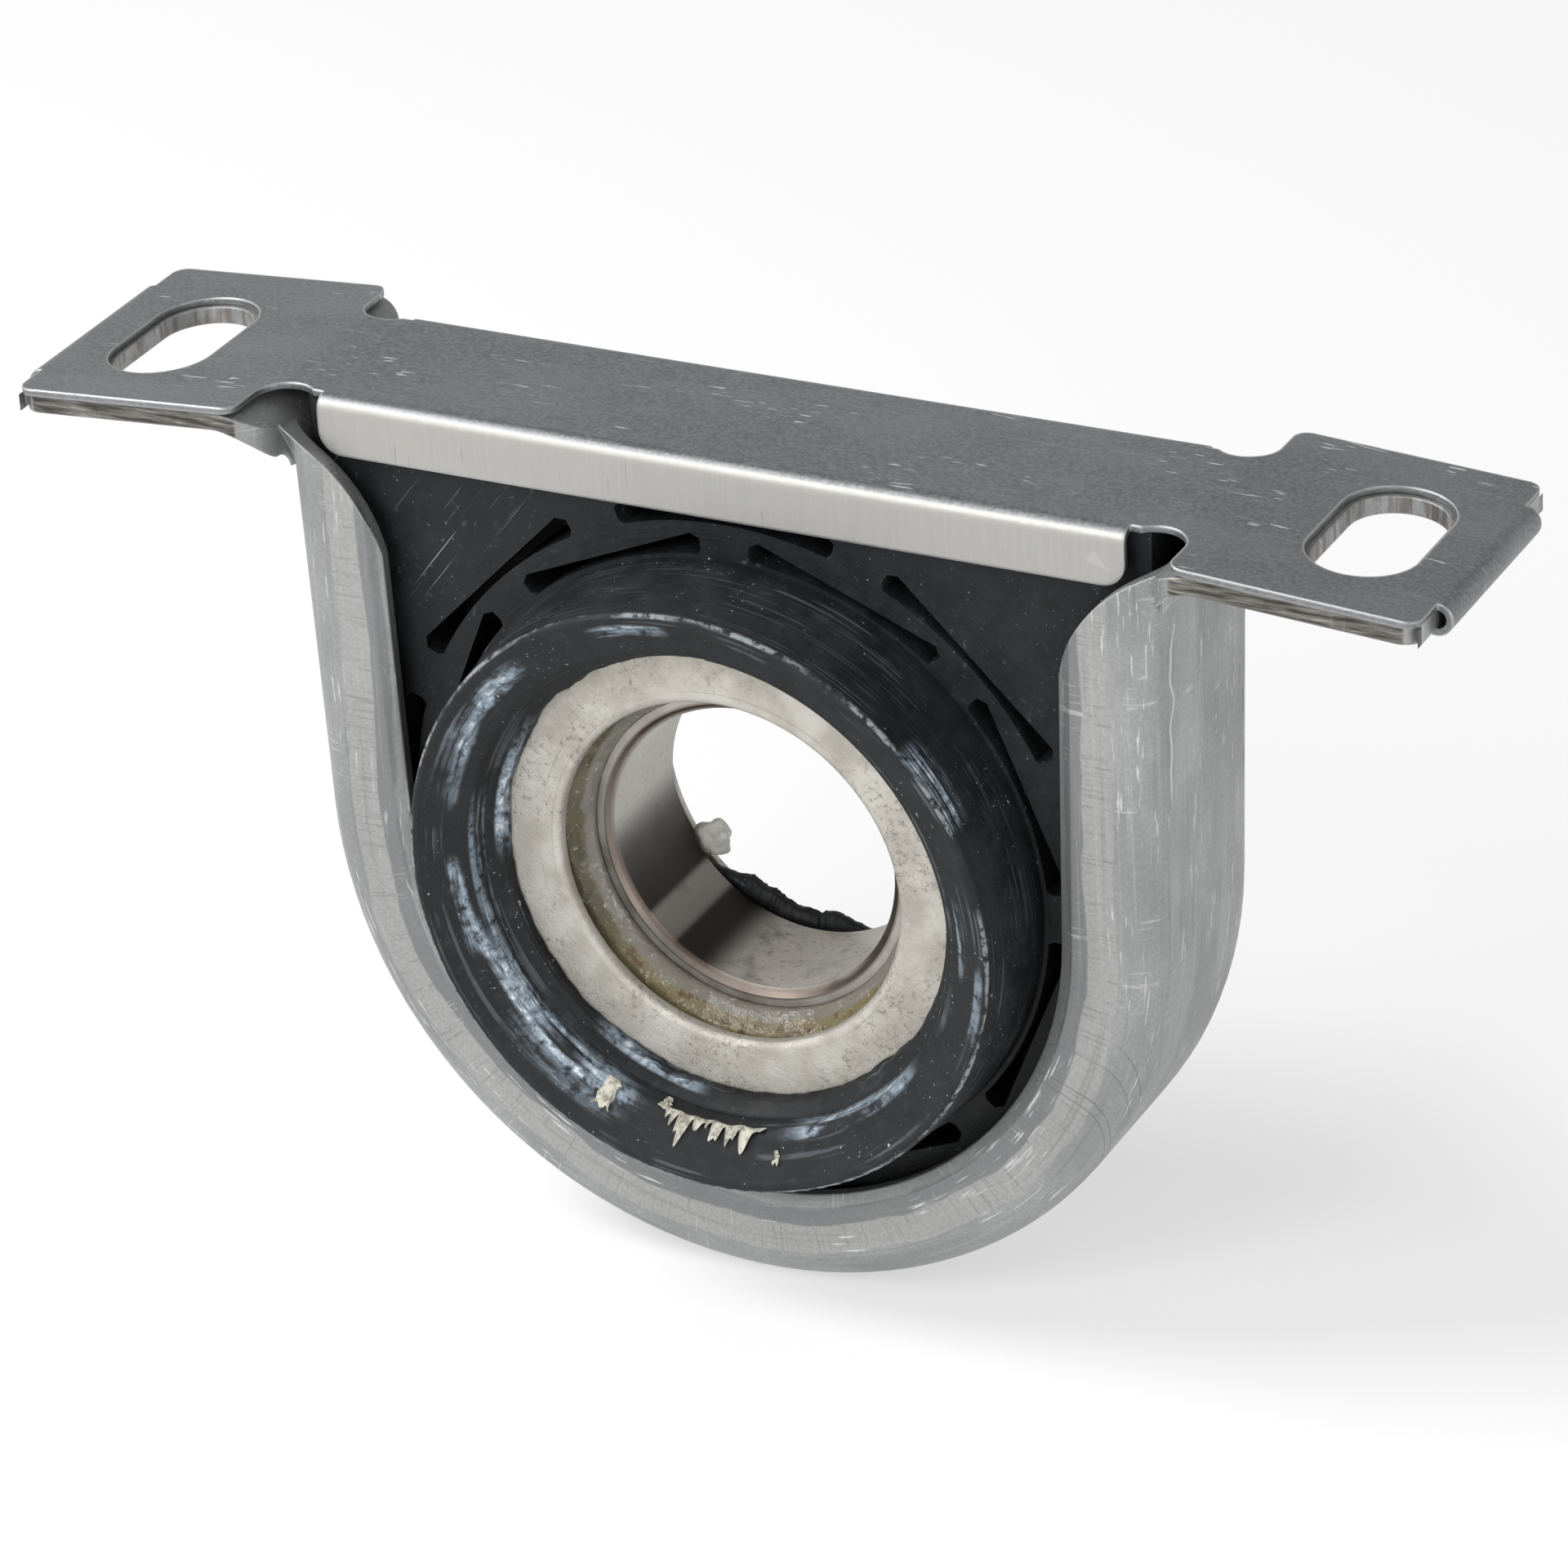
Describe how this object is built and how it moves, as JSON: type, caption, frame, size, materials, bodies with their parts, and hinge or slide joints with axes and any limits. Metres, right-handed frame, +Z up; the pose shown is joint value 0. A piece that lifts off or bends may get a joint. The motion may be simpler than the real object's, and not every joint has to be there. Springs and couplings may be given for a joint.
{
  "type": "driveshaft centre bearing",
  "caption": "Ball bearing in a slotted rubber cushion, hung in a U-shaped steel strap under a folded top plate with slotted ears, to carry the middle of a driveshaft.",
  "frame": {"origin": "centre of the bearing's bore, half-way along it", "axes": "+Y along the shaft to the rear, +X along the top plate, +Z up to the mounting face"},
  "size_m": [0.1982, 0.0504, 0.1169],
  "materials": {
    "strap_steel": "matte rolled sheet, scuffed",
    "plate_steel": "satin sheet, finely scratched",
    "cushion_rubber": "satin, dusted with talc",
    "ring_steel": "ground",
    "bore_steel": "ground, stained by grease",
    "cage_steel": "pressed sheet",
    "shield_steel": "pitted plating",
    "seal_rubber": "matte",
    "ball_steel": "polished"
  },
  "bodies": {
    "housing": {"housing_strap": "strap_steel", "top_plate": "plate_steel", "rubber_cushion": "cushion_rubber", "bearing_outer_ring": "ring_steel", "front_shield": "shield_steel", "rear_shield": "shield_steel", "front_seal": "seal_rubber", "rear_seal": "seal_rubber"},
    "inner_ring": {"bearing_inner_ring": "bore_steel"},
    "cage": {"cage_front_half": "cage_steel", "cage_rear_half": "cage_steel", "cage_rivets": "cage_steel"},
    "ball_1": {"ball_1": "ball_steel"},
    "ball_2": {"ball_2": "ball_steel"},
    "ball_3": {"ball_3": "ball_steel"},
    "ball_4": {"ball_4": "ball_steel"},
    "ball_5": {"ball_5": "ball_steel"},
    "ball_6": {"ball_6": "ball_steel"},
    "ball_7": {"ball_7": "ball_steel"},
    "ball_8": {"ball_8": "ball_steel"},
    "ball_9": {"ball_9": "ball_steel"}
  },
  "joints": [
    {"name": "inner_ring_spin", "type": "hinge", "parent": "housing", "child": "inner_ring", "pos_m": [0, 0, 0], "axis": [0, 1, 0], "continuous": true},
    {"name": "cage_spin", "type": "hinge", "parent": "housing", "child": "cage", "pos_m": [0, 0, 0], "axis": [0, 1, 0], "continuous": true},
    {"name": "ball_1_spin", "type": "hinge", "parent": "cage", "child": "ball_1", "pos_m": [0.03, 0, 0], "axis": [0, 1, 0], "continuous": true},
    {"name": "ball_2_spin", "type": "hinge", "parent": "cage", "child": "ball_2", "pos_m": [0.02298, 0, -0.01928], "axis": [0, 1, 0], "continuous": true},
    {"name": "ball_3_spin", "type": "hinge", "parent": "cage", "child": "ball_3", "pos_m": [0.00521, 0, -0.02954], "axis": [0, 1, 0], "continuous": true},
    {"name": "ball_4_spin", "type": "hinge", "parent": "cage", "child": "ball_4", "pos_m": [-0.015, 0, -0.02598], "axis": [0, 1, 0], "continuous": true},
    {"name": "ball_5_spin", "type": "hinge", "parent": "cage", "child": "ball_5", "pos_m": [-0.02819, 0, -0.01026], "axis": [0, 1, 0], "continuous": true},
    {"name": "ball_6_spin", "type": "hinge", "parent": "cage", "child": "ball_6", "pos_m": [-0.02819, 0, 0.01026], "axis": [0, 1, 0], "continuous": true},
    {"name": "ball_7_spin", "type": "hinge", "parent": "cage", "child": "ball_7", "pos_m": [-0.015, 0, 0.02598], "axis": [0, 1, 0], "continuous": true},
    {"name": "ball_8_spin", "type": "hinge", "parent": "cage", "child": "ball_8", "pos_m": [0.00521, 0, 0.02954], "axis": [0, 1, 0], "continuous": true},
    {"name": "ball_9_spin", "type": "hinge", "parent": "cage", "child": "ball_9", "pos_m": [0.02298, 0, 0.01928], "axis": [0, 1, 0], "continuous": true}
  ],
  "couplings": [
    {"joint": "cage_spin", "follows": "inner_ring_spin", "ratio": 0.4},
    {"joint": "ball_1_spin", "follows": "inner_ring_spin", "ratio": -2.4},
    {"joint": "ball_2_spin", "follows": "inner_ring_spin", "ratio": -2.4},
    {"joint": "ball_3_spin", "follows": "inner_ring_spin", "ratio": -2.4},
    {"joint": "ball_4_spin", "follows": "inner_ring_spin", "ratio": -2.4},
    {"joint": "ball_5_spin", "follows": "inner_ring_spin", "ratio": -2.4},
    {"joint": "ball_6_spin", "follows": "inner_ring_spin", "ratio": -2.4},
    {"joint": "ball_7_spin", "follows": "inner_ring_spin", "ratio": -2.4},
    {"joint": "ball_8_spin", "follows": "inner_ring_spin", "ratio": -2.4},
    {"joint": "ball_9_spin", "follows": "inner_ring_spin", "ratio": -2.4}
  ]
}
